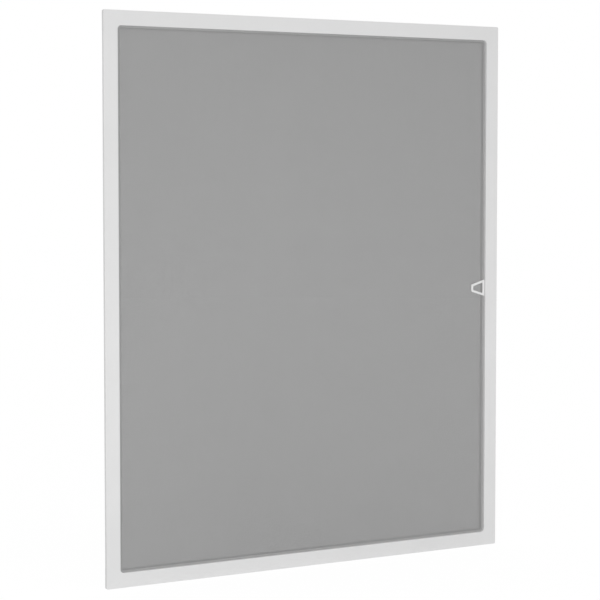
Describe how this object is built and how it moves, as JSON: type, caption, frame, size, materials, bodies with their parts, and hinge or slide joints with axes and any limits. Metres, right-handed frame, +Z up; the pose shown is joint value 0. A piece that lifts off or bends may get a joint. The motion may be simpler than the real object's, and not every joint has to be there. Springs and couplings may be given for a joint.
{
  "type": "window screen frame",
  "caption": "White rectangular insect screen for a window: hollow aluminium frame with moulded corners, recessed grey mesh held in a groove by a spline, and a small loop-shaped pull tab.",
  "frame": {"origin": "middle of the frame, in the plane of the flange's seating face", "axes": "+Z up along the stiles, +X to the right seen from the front, the front face looks along -Y"},
  "size_m": [0.8, 0.011, 1],
  "materials": {
    "white_aluminium": "satin white powder coat",
    "corner_plastic": "fine satin moulded white",
    "mesh_thread": "coated glass-fibre thread, plain weave",
    "spline_vinyl": "matt ribbed vinyl",
    "tab_plastic": "smooth satin white",
    "seal_pile": "dense short pile"
  },
  "bodies": {
    "root": {"top_rail": "white_aluminium", "bottom_rail": "white_aluminium", "left_stile": "white_aluminium", "right_stile": "white_aluminium", "top_left_corner": "corner_plastic", "top_right_corner": "corner_plastic", "bottom_left_corner": "corner_plastic", "bottom_right_corner": "corner_plastic", "insect_mesh": "mesh_thread", "top_spline": "spline_vinyl", "bottom_spline": "spline_vinyl", "left_spline": "spline_vinyl", "right_spline": "spline_vinyl", "pull_tab": "tab_plastic", "top_seal": "seal_pile", "bottom_seal": "seal_pile", "left_seal": "seal_pile", "right_seal": "seal_pile"}
  },
  "joints": []
}
